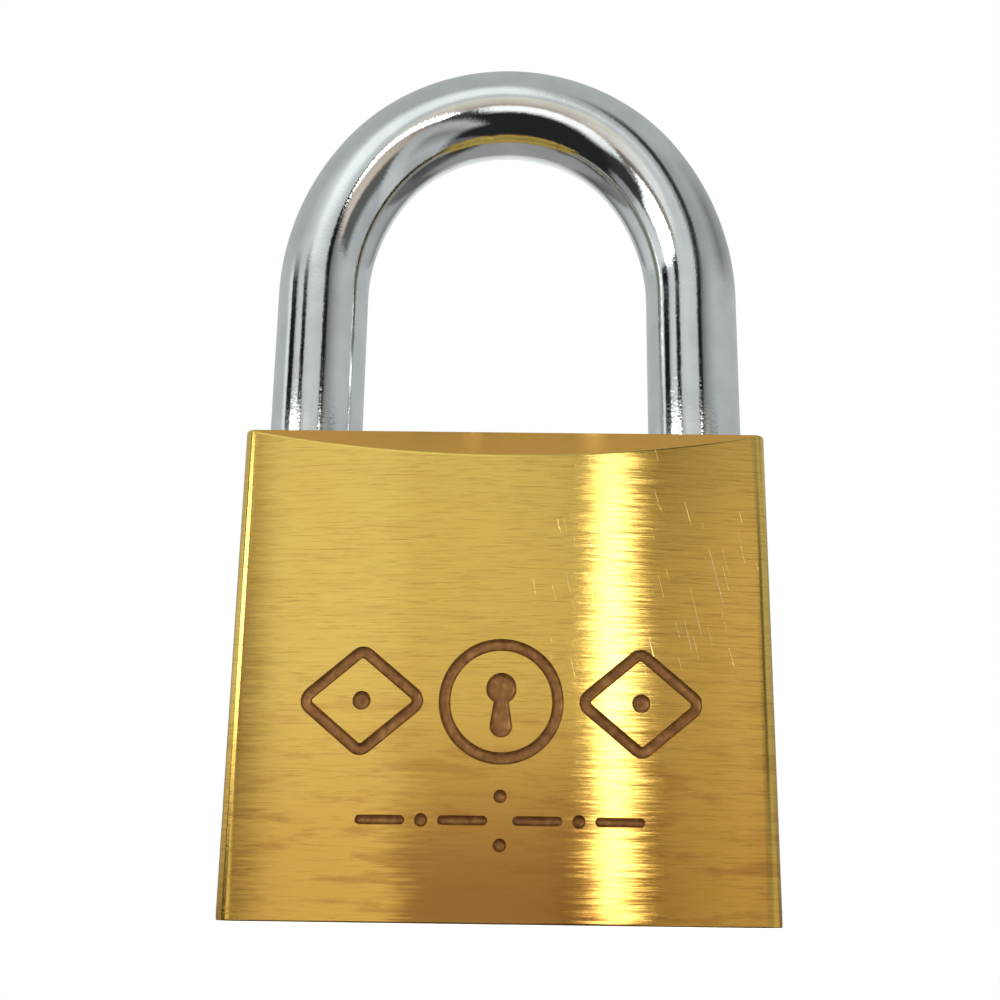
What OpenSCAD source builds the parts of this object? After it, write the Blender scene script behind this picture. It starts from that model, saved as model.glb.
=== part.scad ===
// Pin tumbler padlock: a solid brass body with crowned faces, a round steel shackle,
// two spring bolts, a rotating key plug and five pin stacks.
// The origin is at the middle of the underside, +Z is up and the front face looks along -Y.
// It is drawn closed, with the plug turned to open and both bolts drawn back.

/* [Body] */
// Width of the body across its flat sides
body_w = 50; // [50:0.5:54]
// Height of the body
body_h = 45.4; // [45:0.1:48]
// Thickness of the body at the middle of the crowned faces
body_t = 17; // [17:0.1:22]
// How far each crowned face falls back from its middle to the sides
crown = 2.2; // [1.5:0.1:2.5]
// Radius of the four upright corners
corner_r = 1.4; // [1:0.1:2.5]
// Height of the bevel above each crowned face, at the middle
bevel_h = 3; // [1.5:0.1:4]
// Depth of that bevel into the top face
bevel_d = 2.2; // [1.8:0.1:2.8]

/* [Shackle] */
// Diameter of the shackle's bar
bar_d = 9.2; // [8.6:0.1:9.2]
// Distance between the axes of the two legs
leg_span = 38; // [37.5:0.1:38]
// Clear height inside the closed shackle, above the body
shackle_clear = 33.6; // [25:0.1:60]
// Bend radius of the arch's two shoulders, which is larger than that of its top
shoulder_r = 24; // [22:0.5:26]
// How far the shackle rises to open
lift = 15.5; // [15:0.1:15.5]

/* [Bolts] */
// Diameter of the two bolts
bolt_d = 6; // [5.6:0.1:6]
// How far each bolt slides
bolt_travel = 2.4; // [2:0.1:2.4]
// Height of the bolts' axis above the underside
bolt_z = 35.5; // [35.5:0.1:36]

/* [Key plug] */
// Diameter of the plug
plug_d = 12; // [12:0.1:12.2]
// Diameter of the pin chambers
chamber_d = 3; // [2.8:0.1:3.1]
// Height of the lowest pin stack above the underside
first_pin_z = 5; // [5:0.1:5.4]
// Distance from one pin stack to the next
pin_pitch = 4; // [4:0.05:4.1]

/* [Engraving] */
// Depth of the engraved grooves
groove_depth = 0.45; // [0.2:0.05:0.6]
// Width of the grooves of the large ornament
groove_w = 1.15; // [0.8:0.05:1.3]
// Width of the grooves of the small ornament
fine_groove_w = 0.8; // [0.5:0.05:1]
// Height of the middle of the large ornament above the underside
large_row_z = 19.2; // [18:0.1:20]
// Height of the middle of the small ornament above the underside
small_row_z = 8.7; // [8:0.1:9]

/* [Hidden] */
pin_count = 5;
$fn = 96;
past = 1;               // how far a cutter runs past the surface it cuts
play = 0.1;             // radial gap of a sliding piece in its bore
turning_play = 0.05;    // radial gap of the plug in its bore
proud = 0.01;           // how far the round corners stand out, so that they cross the faces

// Body
half_w = body_w / 2;
half_t = body_t / 2;
crown_r = (half_w * half_w + crown * crown) / (2 * crown);
crown_centre = crown_r - half_t;
corner_x = half_w - corner_r;
corner_y = sqrt(pow(crown_r + proud - corner_r, 2) - corner_x * corner_x) - crown_centre;
corner_top_x = corner_x * crown_r / (crown_r - corner_r);
side_x = half_w - proud;

// Shackle
bar_r = bar_d / 2;
leg_x = leg_span / 2;
leg_bore_r = bar_r + play;
shoulder_angle = atan2(3, 4);   // how far each shoulder bends before the top of the arch
centre_gap = (shoulder_r - leg_x) / cos(shoulder_angle);
top_bend_r = shoulder_r - centre_gap;
top_bend_z = body_h + shackle_clear + bar_r - top_bend_r;
arch_z = top_bend_z - centre_gap * sin(shoulder_angle);
toe_below_bolt = 5.5;           // how far the toe reaches below the bolts' axis
heel_below_open_bolt = 7.3;     // the same for the heel, when the shackle is open
toe_end_z = bolt_z - toe_below_bolt;
toe_bore_z = toe_end_z - 1;
heel_end_z = bolt_z - lift - heel_below_open_bolt;
heel_bore_z = 4;
bore_countersink = 0.4;
bolt_r = bolt_d / 2;
notch_half_h = bolt_r + 0.3;
notch_floor_gap = 0.3;  // between a bolt's tip and the floor of its notch
toe_chamfer = 1.2;
heel_chamfer = 0.7;

// Bolts, drawn back. The toe bolt clears the shackle's bore. The heel bolt still reaches
// into its bore, under the shackle's waist, and keeps the open shackle from coming out.
bolt_bore_r = bolt_r + play;
toe_tip_x = leg_x - leg_bore_r - 0.2;
heel_tip_x = leg_x - leg_bore_r + 1.1;
waist_r = leg_x - heel_tip_x - 0.3;
tip_chamfer = 0.5;
shoulder_x = 3.6;
tongue_end_x = -3.25;
tongue_gap = 0.12;      // half of the gap between the two tongues
tongue_top = 0.3;       // above the bolts' axis
spring_rise = 1.6;      // the bolt spring's axis above the bolts' axis
pocket_r = 1.1;
pocket_depth = 1.5;
bolt_spring_r = 1;
bolt_spring_wire = 0.4;

// Cam: each of its two pins swings through a quarter turn, 45 degrees each side of square
cam_pin_r = 0.9;
cam_reach = bolt_travel / (2 * sin(45));
cam_disc_r = 5.2;
slot_half_w = cam_pin_r + 0.15;
slot_top = -0.5;        // below the bolts' axis
cam_well_r = 3;
cam_tang = [4, 1.6, 1.2];

// Plug
plug_r = plug_d / 2;
plug_bore_r = plug_r + turning_play;
plug_face_z = 0.3;
plug_top_z = 27.5;
cam_top_z = bolt_z - bolt_r - 1.2;
cam_pin_top_z = bolt_z - 0.65;
plug_bore_chamfer = 0.35;
keyway_top_z = 23.4;
retaining_z = 25.3;
retaining_r = 1.1;
retaining_groove_h = 2.4;
retaining_groove_r = 5;

// Pin stacks
chamber_r = chamber_d / 2;
pin_r = chamber_r - play / 2;
key_pin_hole_end = -0.3;
key_pin_outer = plug_r - 0.15;
key_pin_lengths = [4.4, 3.6, 5.0, 3.2, 4.0];
driver_x = plug_r + 0.1;
driver_length = 4.5;
driver_chamfer = 0.25;
cap_x = side_x - 5;
pin_spring_r = 1.3;
pin_spring_wire = 0.36;
cap_thickness = 1.2;

// Height of pin stack number i, counted from 1
function pin_z(i) = first_pin_z + (i - 1) * pin_pitch;

// A cylinder from one x to another, on the line at height z in the middle plane
module bar_x(r, from, to, z, y = 0) {
    translate([from, y, z]) rotate([0, 90, 0]) cylinder(r = r, h = to - from);
}

// A cylinder with both ends chamfered, standing on the XY plane
module chamfered_pin(r, h, bottom, top) {
    cylinder(r1 = r - bottom, r2 = r, h = bottom);
    translate([0, 0, bottom]) cylinder(r = r, h = h - bottom - top);
    translate([0, 0, h - top]) cylinder(r1 = r, r2 = r - top, h = top);
}

// A compression spring along +Z from the origin, with one closed turn at each end.
// The wire is swept as a tube around the axis.
module coil_spring(outer_r, wire_d, length, turns, steps, sides) {
    wire_r = wire_d / 2;
    middle_r = outer_r - wire_r;
    last = turns * steps;
    open_length = length - wire_d - 2 * wire_d;
    function rise(turn) =
        turn < 1 ? turn * wire_d :
        turn > turns - 1 ? length - wire_d - (turns - turn) * wire_d :
        wire_d + (turn - 1) / (turns - 2) * open_length;
    points = [for (i = [0:last], j = [0:sides - 1])
        let (turn = i / steps, around = 360 * turn, b = 360 * j / sides,
             r = middle_r + wire_r * cos(b))
        [r * cos(around), r * sin(around), wire_r + rise(turn) + wire_r * sin(b)]];
    tube = [for (i = [0:last - 1], j = [0:sides - 1], half = [0, 1])
        let (a = i * sides + j, b = i * sides + (j + 1) % sides)
        half == 0 ? [a, b, b + sides] : [a, b + sides, a + sides]];
    start_cap = [[for (j = [sides - 1:-1:0]) j]];
    end_cap = [[for (j = [0:sides - 1]) last * sides + j]];
    polyhedron(points = points, faces = concat(tube, start_cap, end_cap), convexity = 10);
}

// Plan of the body: two crowned faces, two flat sides and four round corners
module body_plan() {
    intersection() {
        translate([0, crown_centre]) circle(r = crown_r, $fn = 360);
        translate([0, -crown_centre]) circle(r = crown_r, $fn = 360);
        square([2 * corner_top_x, 2 * body_t], center = true);
    }
    square([2 * side_x, 2 * corner_y], center = true);
    for (x = [-corner_x, corner_x], y = [-corner_y, corner_y])
        translate([x, y]) circle(r = corner_r);
}

// What the bevel takes off above the front face, drawn in Y and Z and run along X
module front_bevel() {
    across = [-bevel_d, -bevel_h];
    edge = [-half_t + bevel_d, body_h];
    outward = [-3 * bevel_d, 0];
    translate([-half_w - past, 0, 0]) rotate([90, 0, 90])
        linear_extrude(body_w + 2 * past)
            polygon([edge - across, edge + 2 * across, edge + 2 * across + outward,
                     edge - across + outward]);
}

// The block before it is drilled
module body_blank() {
    difference() {
        linear_extrude(body_h) body_plan();
        front_bevel();
        mirror([0, 1, 0]) front_bevel();
    }
}

// A straight groove with round ends
module stroke(a, b, w) {
    run = b - a;
    translate(a) rotate(atan2(run[1], run[0]))
        translate([0, -w / 2]) square([norm(run), w]);
    for (p = [a, b]) translate(p) circle(d = w);
}

// A ring groove
module ring(r, w) {
    difference() {
        circle(r = r + w / 2);
        circle(r = r - w / 2);
    }
}

// A lozenge drawn with four strokes
module lozenge(half_length, half_height, w) {
    corners = [[half_length, 0], [0, half_height], [-half_length, 0], [0, -half_height]];
    for (i = [0:3]) stroke(corners[i], corners[(i + 1) % 4], w);
}

// The large ornament: a keyhole in a ring, with a lozenge on each side
module large_ornament() {
    ring(5.2, groove_w);
    translate([0, 1.1]) circle(r = 1.5);
    polygon([[-0.55, 1], [0.55, 1], [1.25, -2.7], [-1.25, -2.7]]);
    for (side = [-1, 1]) {
        translate([12.7 * side, 0]) lozenge(5.2, 4.3, groove_w);
        translate([12.7 * side, 0]) circle(r = 1);
    }
}

// The small ornament: a row of dashes and dots
module small_ornament() {
    for (x = [-1, 1]) {
        stroke([x * 3.2 - 1.9, 0], [x * 3.2 + 1.9, 0], fine_groove_w);
        translate([x * 7, 0]) circle(r = 0.65);
        stroke([x * 10.8 - 1.9, 0], [x * 10.8 + 1.9, 0], fine_groove_w);
    }
    translate([0, 2.2]) circle(r = 0.65);
    translate([0, -2.2]) circle(r = 0.65);
}

// Grooves of even depth that follow the crowned front face
module engraving() {
    difference() {
        rotate([90, 0, 0]) translate([0, 0, half_t - crown - past])
            linear_extrude(crown + 2 * past) {
                translate([0, large_row_z]) large_ornament();
                translate([0, small_row_z]) small_ornament();
            }
        translate([0, crown_centre, -past])
            cylinder(r = crown_r - groove_depth, h = body_h + 2 * past, $fn = 360);
    }
}

module shackle_bore(x, floor_z) {
    translate([x, 0, floor_z]) cylinder(r = leg_bore_r, h = body_h - floor_z + past);
    translate([x, 0, body_h - bore_countersink])
        cylinder(r1 = leg_bore_r, r2 = leg_bore_r + bore_countersink + past,
                 h = bore_countersink + past);
}

module body() {
    color("goldenrod") difference() {
        body_blank();
        engraving();
        shackle_bore(leg_x, toe_bore_z);
        shackle_bore(-leg_x, heel_bore_z);
        bar_x(bolt_bore_r, -leg_x, half_w + past, bolt_z);
        translate([0, 0, -past]) cylinder(r = plug_bore_r, h = cam_top_z + 0.2 + past);
        translate([0, 0, -past])
            cylinder(r1 = plug_bore_r + plug_bore_chamfer + past, r2 = plug_bore_r,
                     h = plug_bore_chamfer + past);
        translate([0, 0, cam_top_z]) cylinder(r = cam_well_r, h = bolt_z - cam_top_z);
        for (i = [1:pin_count]) bar_x(chamber_r, 0, half_w + past, pin_z(i));
        bar_x(retaining_r, 0, half_w + past, retaining_z);
    }
}

// A notch in the inner side of the leg at +X for a bolt whose drawn-back tip is at tip_x,
// with a sloped upper flank
module bolt_notch(tip_x) {
    inner_x = leg_x - bar_r - past;
    floor_x = tip_x + bolt_travel + notch_floor_gap;
    translate([0, bar_r + past, bolt_z]) rotate([90, 0, 0])
        linear_extrude(bar_d + 2 * past)
            polygon([[inner_x, -notch_half_h], [floor_x, -notch_half_h],
                     [floor_x, notch_half_h],
                     [inner_x, notch_half_h + floor_x - inner_x]]);
}

// Half of the bar at +X: the leg, the wide shoulder bend and half of the tighter top bend
module half_bar(end_z, chamfer) {
    translate([leg_x - shoulder_r, 0, arch_z]) rotate([90, 0, 0])
        rotate_extrude(angle = shoulder_angle) translate([shoulder_r, 0]) circle(r = bar_r);
    translate([leg_x, 0, end_z]) chamfered_pin(bar_r, arch_z - end_z, chamfer, 0);
    translate([0, 0, top_bend_z]) mirror([1, 0, 0]) rotate([90, -90, 0])
        rotate_extrude(angle = 90 - shoulder_angle) translate([top_bend_r, 0]) circle(r = bar_r);
}

module shackle() {
    waist_z = bolt_z - lift - notch_half_h;
    color("silver") difference() {
        union() {
            half_bar(toe_end_z, toe_chamfer);
            mirror([1, 0, 0]) half_bar(heel_end_z, heel_chamfer);
        }
        bolt_notch(toe_tip_x);
        mirror([1, 0, 0]) bolt_notch(heel_tip_x);
        translate([-leg_x, 0, waist_z]) difference() {
            cylinder(r = bar_r + past, h = bolt_z - waist_z);
            translate([0, 0, -past])
                cylinder(r = waist_r, h = bolt_z - waist_z + 2 * past);
        }
    }
}

// A bolt at +X, drawn back, with its tongue on the +Y side. The slot is long enough for the
// bolt to be pushed back while the cam stays still.
module bolt(tip_x) {
    cam_x = -cam_reach * cos(45);
    difference() {
        translate([0, 0, bolt_z]) rotate([0, 90, 0]) union() {
            translate([0, 0, shoulder_x])
                chamfered_pin(bolt_r, tip_x - shoulder_x, 0, tip_chamfer);
            translate([0, 0, tongue_end_x])
                cylinder(r = bolt_r, h = shoulder_x - tongue_end_x);
        }
        // beside and above the tongue
        translate([tongue_end_x - past, -bolt_d, bolt_z - bolt_d])
            cube([shoulder_x - tongue_end_x + past, bolt_d + tongue_gap, 2 * bolt_d]);
        translate([tongue_end_x - past, -bolt_d, bolt_z + tongue_top])
            cube([shoulder_x - tongue_end_x + past, 2 * bolt_d, bolt_d]);
        // slot for the cam's pin
        translate([cam_x - slot_half_w, -bolt_d, bolt_z - bolt_d])
            cube([2 * slot_half_w + bolt_travel, 2 * bolt_d, bolt_d + slot_top]);
        // pocket for the spring
        bar_x(pocket_r, shoulder_x - past, shoulder_x + pocket_depth, bolt_z + spring_rise);
    }
}

module toe_bolt() {
    color("darkgray") difference() {
        bolt(toe_tip_x);
        // slope that the shackle's end pushes back as it closes
        translate([toe_tip_x, 0, bolt_z + 1]) rotate([0, 45, 0])
            translate([-bolt_d, -bolt_d, 0]) cube([2 * bolt_d, 2 * bolt_d, bolt_d]);
    }
}

module heel_bolt() {
    color("darkgray") rotate(180) bolt(heel_tip_x);
}

module bolt_spring() {
    end_x = shoulder_x + pocket_depth;
    color("silver") translate([-end_x, 0, bolt_z + spring_rise]) rotate([0, 90, 0])
        coil_spring(bolt_spring_r, bolt_spring_wire, 2 * end_x, 10, 12, 6);
}

module shackle_spring() {
    color("silver") translate([-leg_x, 0, heel_bore_z])
        coil_spring(4, 0.8, heel_end_z - heel_bore_z, 6, 20, 8);
}

module bolt_bore_cap() {
    color("goldenrod") bar_x(bolt_bore_r, side_x - cap_thickness, side_x, bolt_z);
}

// Section of the keyway at rest, with the pins on its +Y side
module keyway_plan() {
    translate([-1.25, -5]) square([1.8, 2.3]);
    translate([-0.55, -3]) square([1.8, 2.6]);
    translate([-1, -0.8]) square([1.9, 4.1]);
}

module plug() {
    color("goldenrod") difference() {
        translate([0, 0, plug_face_z]) cylinder(r = plug_r, h = plug_top_z - plug_face_z);
        linear_extrude(keyway_top_z) keyway_plan();
        for (i = [1:pin_count])
            translate([0, key_pin_hole_end, pin_z(i)]) rotate([-90, 0, 0])
                cylinder(r = chamber_r, h = plug_d);
        translate([0, 0, retaining_z - retaining_groove_h / 2]) difference() {
            cylinder(r = plug_r + past, h = retaining_groove_h);
            translate([0, 0, -past])
                cylinder(r = retaining_groove_r, h = retaining_groove_h + 2 * past);
        }
        translate([-cam_tang[0] / 2, -cam_tang[1] / 2, plug_top_z - cam_tang[2]])
            cube([cam_tang[0], cam_tang[1], cam_tang[2] + past]);
    }
}

module cam() {
    fit = 0.05;
    color("silver") {
        translate([0, 0, plug_top_z]) cylinder(r = cam_disc_r, h = cam_top_z - plug_top_z);
        translate([-cam_tang[0] / 2 + fit, -cam_tang[1] / 2 + fit,
                   plug_top_z - cam_tang[2] + fit])
            cube([cam_tang[0] - 2 * fit, cam_tang[1] - 2 * fit, cam_tang[2]]);
        for (turn = [135, 315])
            rotate(turn) translate([cam_reach, 0, plug_top_z])
                cylinder(r = cam_pin_r, h = cam_pin_top_z - plug_top_z);
    }
}

module plug_retaining_pin() {
    color("silver") bar_x(retaining_r, retaining_groove_r + 0.1, side_x, retaining_z);
}

module chamber_caps() {
    color("goldenrod")
        for (i = [1:pin_count]) bar_x(chamber_r, cap_x, side_x, pin_z(i));
}

// A key pin: its pointed end rides on the key and its flat end meets the driver
module key_pin(i) {
    length = key_pin_lengths[i - 1];
    point_r = 0.5;
    point_h = 0.9;
    end_chamfer = 0.3;
    color("goldenrod") translate([0, key_pin_outer - length, pin_z(i)])
        rotate([-90, 0, 0]) {
            cylinder(r1 = point_r, r2 = pin_r, h = point_h);
            translate([0, 0, point_h])
                chamfered_pin(pin_r, length - point_h, 0, end_chamfer);
        }
}

module driver_pin(i) {
    color("silver") translate([driver_x, 0, pin_z(i)]) rotate([0, 90, 0])
        chamfered_pin(pin_r, driver_length, driver_chamfer, driver_chamfer);
}

module pin_spring(i) {
    from = driver_x + driver_length;
    color("silver") translate([from, 0, pin_z(i)]) rotate([0, 90, 0])
        coil_spring(pin_spring_r, pin_spring_wire, cap_x - from, 8, 10, 6);
}

body();
shackle();
toe_bolt();
heel_bolt();
bolt_spring();
shackle_spring();
bolt_bore_cap();
plug();
cam();
plug_retaining_pin();
chamber_caps();
for (i = [1:pin_count]) {
    key_pin(i);
    driver_pin(i);
    pin_spring(i);
}
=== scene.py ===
"""Looks for the padlock: a brushed brass body with a chromed shackle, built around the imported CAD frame.

Everything is in metres, in the frame of the part: the origin is at the middle of the underside, +Z is up
and the engraved front face looks along -Y.
"""
import math
import bmesh
import bpy
from mathutils import Matrix, Vector


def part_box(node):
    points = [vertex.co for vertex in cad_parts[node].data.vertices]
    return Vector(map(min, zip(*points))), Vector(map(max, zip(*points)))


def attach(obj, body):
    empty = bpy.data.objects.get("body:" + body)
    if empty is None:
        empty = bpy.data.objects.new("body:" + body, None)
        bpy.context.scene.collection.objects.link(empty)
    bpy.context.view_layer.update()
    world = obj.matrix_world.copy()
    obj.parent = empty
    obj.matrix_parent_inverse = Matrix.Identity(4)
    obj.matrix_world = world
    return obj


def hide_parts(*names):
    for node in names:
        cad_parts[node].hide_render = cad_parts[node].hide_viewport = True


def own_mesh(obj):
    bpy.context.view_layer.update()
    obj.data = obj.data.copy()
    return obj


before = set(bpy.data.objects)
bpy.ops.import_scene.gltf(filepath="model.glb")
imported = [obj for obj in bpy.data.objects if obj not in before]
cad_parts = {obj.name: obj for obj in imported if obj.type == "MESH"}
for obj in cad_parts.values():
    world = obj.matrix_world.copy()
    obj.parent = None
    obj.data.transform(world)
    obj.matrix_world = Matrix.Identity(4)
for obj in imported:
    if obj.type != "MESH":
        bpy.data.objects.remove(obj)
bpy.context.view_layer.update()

MM = 0.001
WELD = 0.001 * MM           # points closer together than this are joined after a cut
ON_SURFACE = 2e-6           # a point nearer to a surface than this lies on it
FOLD = math.radians(28)     # folds sharper than this stay sharp in the shading
WORN_FOLD = math.radians(20)  # folds sharper than this are rounded by wear

# Body: its outer sizes come from the frame, and the rest is how its faces are shaped
HALF_W, HALF_T, BODY_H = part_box("body")[1]
CROWN = 2.2 * MM            # how far each crowned face falls back to the sides
CORNER_R = 1.4 * MM         # radius of the upright corners
BEVEL_H = 3.0 * MM          # height of the bevel above a crowned face, at the middle
BEVEL_D = 2.2 * MM          # its depth into the top face
EDGE = 0.14 * MM            # width of the worn rounding on the body's edges
CROWN_R = (HALF_W**2 + CROWN**2) / (2 * CROWN)
CROWN_CENTRE = CROWN_R - HALF_T
CROWN_STEPS = 60
CORNER_STEPS = 14

# Shackle
SHACKLE_LOW, SHACKLE_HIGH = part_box("shackle")
BAR_R = SHACKLE_HIGH[1]
LEG_X = SHACKLE_HIGH[0] - BAR_R
SHOULDER_R = 24 * MM        # bend radius of the arch's shoulders
SHOULDER_ANGLE = math.atan2(3, 4)
CENTRE_GAP = (SHOULDER_R - LEG_X) / math.cos(SHOULDER_ANGLE)
TOP_BEND_R = SHOULDER_R - CENTRE_GAP
TOP_BEND_Z = SHACKLE_HIGH[2] - BAR_R - TOP_BEND_R
ARCH_Z = TOP_BEND_Z - CENTRE_GAP * math.sin(SHOULDER_ANGLE)
BORE_R = BAR_R + 0.1 * MM
BORE_RIM = 0.4 * MM         # countersink of the shackle's bores
TOE_END_Z = 30 * MM
TOE_BORE_Z = 29 * MM
HEEL_BORE_Z = 4 * MM

# Bolts and key plug
BOLT_Z = 35.5 * MM
BOLT_BORE_R = 3.1 * MM
BOLT_NOTCH_HALF_H = 3.3 * MM
TOE_NOTCH_X = 16.8 * MM     # floor of the notch in the toe leg
HEEL_NOTCH_X = 18.1 * MM    # floor of the notch in the heel leg, measured towards -X
WAIST_R = 3.3 * MM
WAIST_Z = 16.7 * MM
PLUG_BORE_R = 6.05 * MM
PLUG_BORE_Z = 31.5 * MM
CAM_WELL_R = 3 * MM
CHAMBER_R = 1.5 * MM
RETAINING_R = 1.1 * MM
RETAINING_Z = 25.3 * MM
PIN_COUNT = 5

# Engraving, on the front face
LARGE_ROW_Z = 19.2 * MM
SMALL_ROW_Z = 8.7 * MM
GROOVE_W = 1.0 * MM
FINE_GROOVE_W = 0.75 * MM
GROOVE_DEPTH = 0.45 * MM
GROOVE_RIM = 0.05 * MM      # width of the broken edge on each side of a groove
RING_R = 5.1 * MM
LOZENGE_X = 12.6 * MM
LOZENGE_HALF_W = 5.5 * MM
LOZENGE_HALF_H = 4.6 * MM
LOZENGE_CORNER_R = 0.8 * MM
CENTRE_DOT_R = 0.8 * MM
DASH_X = (3.3 * MM, 10.6 * MM)
DASH_HALF = 1.8 * MM
DOT_X = 6.95 * MM
DOT_R = 0.55 * MM
MIDDLE_DOT_Z = 2.1 * MM     # how far the middle dots lie above and below the row
DOT_STRETCH = 0.01 * MM     # a dot is a pocket this long, plus its two round ends
ENGRAVED_BELOW_Z = 30 * MM  # the whole engraving lies below this height
ABOVE = 0.3 * MM            # how far a cutter stands above the face it cuts
FLOOR_GAP = 0.02 * MM       # keeps the floor apart from the underside that stands on it


# ---------------------------------------------------------------------------------------------
# Mesh tools


def new_object(name, bm):
    """A smooth-shaded object from a bmesh, with its folds kept sharp."""
    bmesh.ops.recalc_face_normals(bm, faces=bm.faces)
    mesh = bpy.data.meshes.new(name)
    bm.to_mesh(mesh)
    bm.free()
    obj = bpy.data.objects.new(name, mesh)
    bpy.context.scene.collection.objects.link(obj)
    shade(obj)
    return obj


def shade(obj, fold=FOLD):
    """Smooth shading that stops at folds sharper than an angle."""
    obj.data.shade_smooth()
    obj.data.set_sharp_from_angle(angle=fold)


def set_normals(obj, normal_at):
    """Gives a piece the exact shading normals of its surfaces, where normal_at(point, face) knows them."""
    mesh = obj.data
    normals = [Vector()] * len(mesh.loops)
    for face in mesh.polygons:
        for index in face.loop_indices:
            point = mesh.vertices[mesh.loops[index].vertex_index].co
            normals[index] = normal_at(point, face.normal) or Vector()
    mesh.normals_split_custom_set(normals)


def add_ring(bm, points):
    return [bm.verts.new(p) for p in points]


def bridge(bm, one, other, closed=True):
    """Quads between two rows of vertices of the same length."""
    count = len(one)
    for i in range(count if closed else count - 1):
        j = (i + 1) % count
        bm.faces.new((one[i], one[j], other[j], other[i]))


def loft(bm, rows, capped=True):
    """A closed skin over rows of points, with flat ends."""
    rings = [add_ring(bm, row) for row in rows]
    for one, other in zip(rings, rings[1:]):
        bridge(bm, one, other)
    if capped:
        bm.faces.new(list(reversed(rings[0])))
        bm.faces.new(rings[-1])
    return rings


def lathe(name, profile, origin, axis="Z", sides=64):
    """A solid of revolution. The profile is a list of (distance along the axis, radius)."""
    turn = {"X": Matrix.Rotation(math.pi / 2, 4, "Y"),
            "Y": Matrix.Rotation(-math.pi / 2, 4, "X"),
            "Z": Matrix.Identity(4)}[axis]
    place = Matrix.Translation(origin) @ turn
    rows = []
    for along, radius in profile:
        row = []
        for i in range(sides):
            a = 2 * math.pi * i / sides
            row.append(place @ Vector((radius * math.cos(a), radius * math.sin(a), along)))
        rows.append(row)
    bm = bmesh.new()
    loft(bm, rows)
    return new_object(name, bm)


def rounded_pin(length, radius, low_edge, high_edge, steps=4):
    """Lathe profile of a pin whose two ends are rounded off."""
    profile = []
    for i in range(steps + 1):
        a = math.pi / 2 * i / steps
        profile.append((low_edge * (1 - math.cos(a)), radius - low_edge * (1 - math.sin(a))))
    for i in range(steps, -1, -1):
        a = math.pi / 2 * i / steps
        profile.append((length - high_edge * (1 - math.cos(a)), radius - high_edge * (1 - math.sin(a))))
    return profile


def weld(mesh):
    """Joins points that a cut left too close together, and drops the slivers between them."""
    bm = bmesh.new()
    bm.from_mesh(mesh)
    bmesh.ops.remove_doubles(bm, verts=bm.verts, dist=WELD)
    bmesh.ops.dissolve_degenerate(bm, edges=bm.edges, dist=WELD)
    bm.to_mesh(mesh)
    bm.free()


def cut(target, cutters, fold=FOLD):
    """Takes the cutters out of the target, then removes them."""
    group = bpy.data.collections.new(target.name + "_cutters")
    for cutter in cutters:
        bpy.context.scene.collection.objects.unlink(cutter)
        group.objects.link(cutter)
    bpy.context.scene.collection.children.link(group)
    boolean = target.modifiers.new("cut", "BOOLEAN")
    boolean.operation = "DIFFERENCE"
    boolean.solver = "EXACT"
    boolean.operand_type = "COLLECTION"
    boolean.collection = group
    evaluated = target.evaluated_get(bpy.context.evaluated_depsgraph_get())
    result = bpy.data.meshes.new_from_object(evaluated)
    weld(result)
    target.modifiers.clear()
    old = target.data
    target.data = result
    result.name = target.name
    bpy.data.meshes.remove(old)
    for cutter in cutters:
        bpy.data.meshes.remove(cutter.data)
    bpy.data.collections.remove(group)
    shade(target, fold)
    return target


# ---------------------------------------------------------------------------------------------
# Body


def crown_y(x):
    """Half the body's thickness at a distance from its middle."""
    return math.sqrt(CROWN_R**2 - x * x) - CROWN_CENTRE


def body_outline():
    """Plan of the body: two crowned faces, two flat sides and four round corners."""
    corner_x = HALF_W - CORNER_R
    corner_y = math.sqrt((CROWN_R - CORNER_R) ** 2 - corner_x**2) - CROWN_CENTRE
    lean = math.atan2(corner_x, corner_y + CROWN_CENTRE)
    quarter = []
    for i in range(CROWN_STEPS):
        a = lean * i / CROWN_STEPS
        quarter.append((CROWN_R * math.sin(a), CROWN_R * math.cos(a) - CROWN_CENTRE))
    for i in range(CORNER_STEPS + 1):
        a = lean + (math.pi / 2 - lean) * i / CORNER_STEPS
        quarter.append((corner_x + CORNER_R * math.sin(a), corner_y + CORNER_R * math.cos(a)))
    half = quarter + [(x, -y) for x, y in reversed(quarter)]
    return half + [(-x, y) for x, y in reversed(half[1:-1])]


def slice_off(bm, point, normal):
    """Cuts away what lies beyond a plane and closes the cut."""
    geometry = bm.verts[:] + bm.edges[:] + bm.faces[:]
    done = bmesh.ops.bisect_plane(bm, geom=geometry, plane_co=point, plane_no=normal,
                                  clear_outer=True, dist=1e-7)
    rim = [e for e in done["geom_cut"] if isinstance(e, bmesh.types.BMEdge)]
    bmesh.ops.contextual_create(bm, geom=rim)


def body_blank():
    """The block before it is drilled and engraved, with its edges broken."""
    bm = bmesh.new()
    outline = body_outline()
    loft(bm, [[(x, y, z) for x, y in outline] for z in (0, BODY_H)])
    for side in (-1, 1):
        slice_off(bm, (0, side * (HALF_T - BEVEL_D), BODY_H), (0, side * BEVEL_H, BEVEL_D))
    bmesh.ops.recalc_face_normals(bm, faces=bm.faces)
    folds = [e for e in bm.edges if e.calc_face_angle(0) > WORN_FOLD]
    bmesh.ops.bevel(bm, geom=folds, offset=EDGE, segments=3, profile=0.5, affect="EDGES",
                    offset_type="OFFSET", clamp_overlap=False)
    return new_object("brass_body", bm)


def on_face(x, z, height):
    """A point over the crowned front face, at a height above it."""
    return Vector((x, -crown_y(x) - height, z))


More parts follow.
